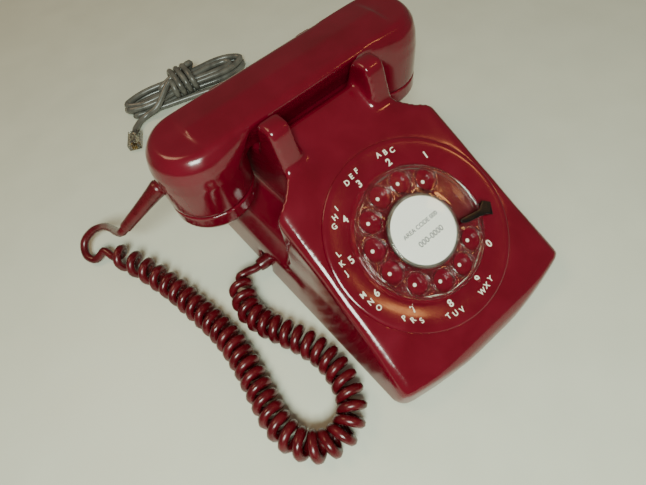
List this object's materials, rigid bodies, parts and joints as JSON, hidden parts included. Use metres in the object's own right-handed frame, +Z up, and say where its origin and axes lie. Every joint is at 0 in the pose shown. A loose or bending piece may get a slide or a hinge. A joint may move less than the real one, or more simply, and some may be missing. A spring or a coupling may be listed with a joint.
{
  "type": "rotary telephone",
  "caption": "Desk telephone with a finger wheel, a moulded housing on a steel base, a lift-off handset, a coiled handset cord and a line cord.",
  "frame": {"origin": "centre of the footprint of the base and handset, on the surface that the feet stand on", "axes": "+Z up, +X to the right of a person who faces the dial, +Y away from that person"},
  "size_m": [0.2952, 0.43, 0.125],
  "materials": {
    "red_plastic": "polished moulding",
    "cord_red": "satin vinyl",
    "clear_acrylic": "polished clear",
    "black_plastic": "satin",
    "card_stock": "printed card",
    "grey_vinyl": "satin vinyl",
    "plated_steel": "zinc plated",
    "brass": "machined",
    "black_rubber": "moulded",
    "coil_winding": "lacquered wire and tape"
  },
  "bodies": {
    "root": {"housing": "red_plastic", "number_ring": "red_plastic", "handset_cord_lead": "cord_red", "handset_cord_curl": "cord_red", "handset_cord_tail": "cord_red", "handset_cord_gland": "cord_red", "modular_plug": "clear_acrylic", "finger_stop": "black_plastic", "pulse_block": "black_plastic", "terminal_board": "black_plastic", "hook_contacts": "black_plastic", "line_cord_gland": "grey_vinyl", "line_cord_lead": "grey_vinyl", "line_cord_hank": "grey_vinyl", "line_cord_tail": "grey_vinyl", "base_plate": "plated_steel", "housing_screw_front": "plated_steel", "housing_screw_rear": "plated_steel", "dial_plate": "plated_steel", "mainspring": "plated_steel", "governor_cup": "plated_steel", "dial_bracket_left": "plated_steel", "dial_bracket_right": "plated_steel", "ringer_frame": "plated_steel", "gong_post_left": "plated_steel", "gong_post_right": "plated_steel", "gong_left": "plated_steel", "gong_right": "plated_steel", "network_can": "plated_steel", "hook_bracket": "plated_steel", "pulse_spring_inner": "brass", "pulse_spring_outer": "brass", "foot_front_left": "black_rubber", "foot_front_right": "black_rubber", "foot_rear_left": "black_rubber", "foot_rear_right": "black_rubber", "ringer_coil_left": "coil_winding", "ringer_coil_right": "coil_winding"},
    "dial_wheel": {"finger_wheel": "clear_acrylic", "card_holder": "plated_steel", "number_card": "card_stock", "card_window": "clear_acrylic", "dial_shaft": "plated_steel", "main_gear": "brass"},
    "intermediate": {"intermediate_gear": "brass"},
    "governor_rotor": {"governor": "brass"},
    "ringer_clapper": {"clapper": "brass"},
    "loudness_control": {"loudness_wheel": "black_plastic"},
    "hook_rocker": {"hook_lever": "plated_steel"},
    "left_plunger": {"plunger_left": "clear_acrylic"},
    "right_plunger": {"plunger_right": "clear_acrylic"},
    "handset": {"handset_handle": "red_plastic", "transmitter_cap": "red_plastic", "receiver_cap": "red_plastic", "transmitter_unit": "plated_steel", "transmitter_contacts": "black_plastic", "receiver_unit": "plated_steel", "handset_boot": "cord_red"}
  },
  "joints": [
    {"name": "dial_turn", "type": "hinge", "parent": "root", "child": "dial_wheel", "pos_m": [0, -0.0435, 0.0567], "axis": [0, 0.5, -0.866], "range_deg": [0, 312], "stiffness_Nm_per_rad": 0.012, "springref_deg": -68.75},
    {"name": "intermediate_turn", "type": "hinge", "parent": "root", "child": "intermediate", "pos_m": [0.01575, -0.01388, 0.05995], "axis": [0, 0.5, -0.866], "range_deg": [-1250, 0]},
    {"name": "governor_turn", "type": "hinge", "parent": "root", "child": "governor_rotor", "pos_m": [0.00142, -0.01172, 0.05622], "axis": [0, 0.866, 0.5], "range_deg": [0, 6250]},
    {"name": "handset_lift", "type": "slide", "parent": "root", "child": "handset", "axis": [0, 0, 1], "range_m": [0, 0.12]},
    {"name": "plunger_left_rise", "type": "slide", "parent": "root", "child": "left_plunger", "axis": [0, 0, 1], "range_m": [0, 0.0051]},
    {"name": "plunger_right_rise", "type": "slide", "parent": "root", "child": "right_plunger", "axis": [0, 0, 1], "range_m": [0, 0.0051]},
    {"name": "hook_rock", "type": "hinge", "parent": "root", "child": "hook_rocker", "pos_m": [0, 0.057, 0.08], "axis": [1, 0, 0], "range_deg": [0, 13.2]},
    {"name": "clapper_swing", "type": "hinge", "parent": "root", "child": "ringer_clapper", "pos_m": [-0.027, 0.0387, 0.0239], "axis": [0, 0, 1], "range_deg": [-4, 4], "stiffness_Nm_per_rad": 0.0006},
    {"name": "loudness_turn", "type": "hinge", "parent": "root", "child": "loudness_control", "pos_m": [0.044, -0.0235, 0.012], "axis": [1, 0, 0], "range_deg": [0, 90]}
  ],
  "couplings": [
    {"joint": "intermediate_turn", "follows": "dial_turn", "ratio": -4},
    {"joint": "governor_turn", "follows": "dial_turn", "ratio": 20},
    {"joint": "plunger_left_rise", "follows": "handset_lift", "ratio": 0.041667},
    {"joint": "plunger_right_rise", "follows": "handset_lift", "ratio": 0.041667},
    {"joint": "hook_rock", "follows": "handset_lift", "rad_per_m": 1.9106}
  ]
}
